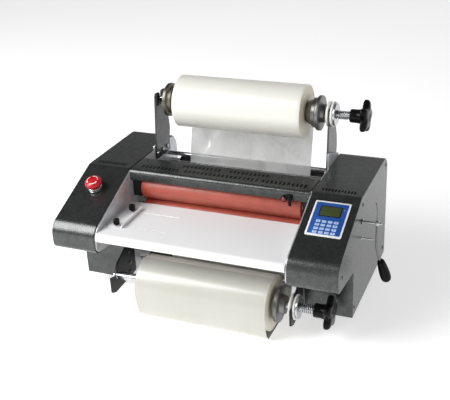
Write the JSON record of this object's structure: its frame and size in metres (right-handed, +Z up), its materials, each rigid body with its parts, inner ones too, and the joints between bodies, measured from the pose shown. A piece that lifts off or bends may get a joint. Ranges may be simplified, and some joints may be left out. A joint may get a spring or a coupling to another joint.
{
  "type": "roll laminator",
  "caption": "Table-top roll laminator: film rolls on braked mandrels above and below feed red rubber rollers behind a slotted tray, between side housings with keypad, stop button and lever.",
  "frame": {"origin": "centre of the bounding box's footprint, on the table under the feet", "axes": "+X to the operator's right along the rollers, +Y from the operator to the back, +Z up"},
  "size_m": [0.6614, 0.396, 0.4285],
  "materials": {
    "housing_paint": "charcoal hammer-textured paint",
    "black_steel": "satin black paint",
    "white_enamel": "gloss white enamel",
    "grey_steel": "grey plated steel",
    "silicone_red": "red silicone rubber",
    "zinc_steel": "bright zinc plate",
    "film": "clear plastic film",
    "film_roll": "wound clear film, milky in the roll",
    "black_plastic": "gloss black moulding",
    "white_plastic": "white low-friction plastic",
    "rubber": "black rubber",
    "red_plastic": "gloss red moulding",
    "keypad_blue": "printed polyester overlay",
    "lcd": "dark display window",
    "quartz": "frosted quartz tube",
    "board_green": "solder-masked board"
  },
  "bodies": {
    "frame": {"left_housing_shell": "housing_paint", "right_housing_shell": "housing_paint", "left_frame_plate": "zinc_steel", "right_frame_plate": "zinc_steel", "base_plate": "black_steel", "rear_cover": "housing_paint", "spreader_bar": "zinc_steel", "top_cover": "housing_paint", "feed_tray": "white_enamel", "left_upright": "grey_steel", "right_upright": "grey_steel", "left_lower_bracket": "black_steel", "right_lower_bracket": "black_steel", "foot_front_left": "rubber", "foot_front_right": "rubber", "foot_rear_left": "rubber", "foot_rear_right": "rubber", "lower_heater_tube": "quartz", "gear_motor": "grey_steel", "drive_chain": "grey_steel", "control_board": "board_green", "power_inlet": "black_plastic", "membrane_keypad": "keypad_blue", "lcd_window": "lcd", "estop_collar": "zinc_steel", "upper_bearing_collar": "white_plastic", "lower_bearing_collar": "white_plastic", "upper_film_web": "film", "lower_film_web": "film"},
    "roller_carriage": {"left_bearing_slide": "black_steel", "right_bearing_slide": "black_steel", "upper_heater_tube": "quartz"},
    "lower_roller": {"lower_heating_roller": "silicone_red", "lower_roller_gear": "grey_steel"},
    "upper_roller": {"upper_heating_roller": "silicone_red", "upper_roller_gear": "grey_steel"},
    "pinion": {"motor_pinion": "zinc_steel"},
    "lower_pull": {"lower_pull_roller": "rubber"},
    "upper_pull": {"upper_pull_roller": "rubber"},
    "upper_idler": {"upper_idler_roller": "zinc_steel"},
    "lower_idler": {"lower_idler_roller": "zinc_steel"},
    "upper_mandrel": {"upper_mandrel_shaft": "zinc_steel", "upper_left_chuck": "grey_steel", "upper_right_chuck": "grey_steel", "upper_film_roll": "film_roll", "upper_tension_spring": "zinc_steel"},
    "lower_mandrel": {"lower_mandrel_shaft": "zinc_steel", "lower_left_chuck": "grey_steel", "lower_right_chuck": "grey_steel", "lower_film_roll": "film_roll", "lower_tension_spring": "zinc_steel"},
    "upper_brake_knob": {"upper_star_knob": "black_plastic"},
    "lower_brake_knob": {"lower_star_knob": "black_plastic"},
    "pressure_lever": {"pressure_lever_arm": "zinc_steel", "pressure_lever_grip": "black_plastic"},
    "paper_guide": {"side_guide": "white_enamel"},
    "rear_guide_knob": {"guide_knob_rear": "black_plastic"},
    "front_guide_knob": {"guide_knob_front": "black_plastic"},
    "stop_button": {"estop_head": "red_plastic"},
    "mains_switch": {"power_switch": "black_plastic"}
  },
  "joints": [
    {"name": "pressure_lever_turn", "type": "hinge", "parent": "frame", "child": "pressure_lever", "pos_m": [0.29934, -0.027, 0.214], "axis": [-1, 0, 0], "range_deg": [0, 90.1]},
    {"name": "carriage_lift", "type": "slide", "parent": "frame", "child": "roller_carriage", "axis": [0, 0, 1], "range_m": [0, 0.004]},
    {"name": "lower_roller_spin", "type": "hinge", "parent": "frame", "child": "lower_roller", "pos_m": [-0.03066, -0.005, 0.16585], "axis": [1, 0, 0], "continuous": true},
    {"name": "upper_roller_spin", "type": "hinge", "parent": "roller_carriage", "child": "upper_roller", "pos_m": [-0.03066, -0.005, 0.22015], "axis": [1, 0, 0], "continuous": true},
    {"name": "pinion_spin", "type": "hinge", "parent": "frame", "child": "pinion", "pos_m": [0.17734, 0.02026, 0.13574], "axis": [1, 0, 0], "continuous": true},
    {"name": "lower_pull_spin", "type": "hinge", "parent": "frame", "child": "lower_pull", "pos_m": [-0.03066, 0.17, 0.181], "axis": [1, 0, 0], "continuous": true},
    {"name": "upper_pull_spin", "type": "hinge", "parent": "frame", "child": "upper_pull", "pos_m": [-0.03066, 0.17, 0.205], "axis": [1, 0, 0], "continuous": true},
    {"name": "upper_idler_spin", "type": "hinge", "parent": "frame", "child": "upper_idler", "pos_m": [-0.03066, 0.133, 0.215], "axis": [1, 0, 0], "continuous": true},
    {"name": "lower_idler_spin", "type": "hinge", "parent": "frame", "child": "lower_idler", "pos_m": [-0.03066, -0.02, 0.044], "axis": [1, 0, 0], "continuous": true},
    {"name": "upper_mandrel_spin", "type": "hinge", "parent": "frame", "child": "upper_mandrel", "pos_m": [-0.03066, 0.122, 0.372], "axis": [1, 0, 0], "continuous": true},
    {"name": "lower_mandrel_spin", "type": "hinge", "parent": "frame", "child": "lower_mandrel", "pos_m": [-0.03066, -0.132, 0.0635], "axis": [1, 0, 0], "continuous": true},
    {"name": "upper_brake_turn", "type": "hinge", "parent": "upper_mandrel", "child": "upper_brake_knob", "pos_m": [0.22934, 0.122, 0.372], "axis": [1, 0, 0], "continuous": true},
    {"name": "lower_brake_turn", "type": "hinge", "parent": "lower_mandrel", "child": "lower_brake_knob", "pos_m": [0.22934, -0.132, 0.0635], "axis": [1, 0, 0], "continuous": true},
    {"name": "guide_slide", "type": "slide", "parent": "frame", "child": "paper_guide", "axis": [1, 0, 0], "range_m": [-0.008, 0.106]},
    {"name": "rear_guide_knob_turn", "type": "hinge", "parent": "paper_guide", "child": "rear_guide_knob", "pos_m": [-0.20566, -0.0805, 0.2], "axis": [0, 0, 1], "range_deg": [0, 360]},
    {"name": "front_guide_knob_turn", "type": "hinge", "parent": "paper_guide", "child": "front_guide_knob", "pos_m": [-0.20566, -0.148, 0.2], "axis": [0, 0, 1], "range_deg": [0, 360]},
    {"name": "stop_press", "type": "slide", "parent": "frame", "child": "stop_button", "axis": [0, 0.377, -0.9262], "range_m": [0, 0.004], "stiffness_N_per_m": 600},
    {"name": "mains_rock", "type": "hinge", "parent": "frame", "child": "mains_switch", "pos_m": [-0.28116, 0.188, 0.114], "axis": [1, 0, 0], "range_deg": [-18, 0]}
  ],
  "couplings": [
    {"joint": "pressure_lever_turn", "follows": "carriage_lift", "rad_per_m": 392.7},
    {"joint": "upper_roller_spin", "follows": "lower_roller_spin", "ratio": -1},
    {"joint": "pinion_spin", "follows": "lower_roller_spin", "ratio": -2.25},
    {"joint": "lower_pull_spin", "follows": "lower_roller_spin", "ratio": 2.25},
    {"joint": "upper_pull_spin", "follows": "lower_roller_spin", "ratio": -2.25}
  ]
}
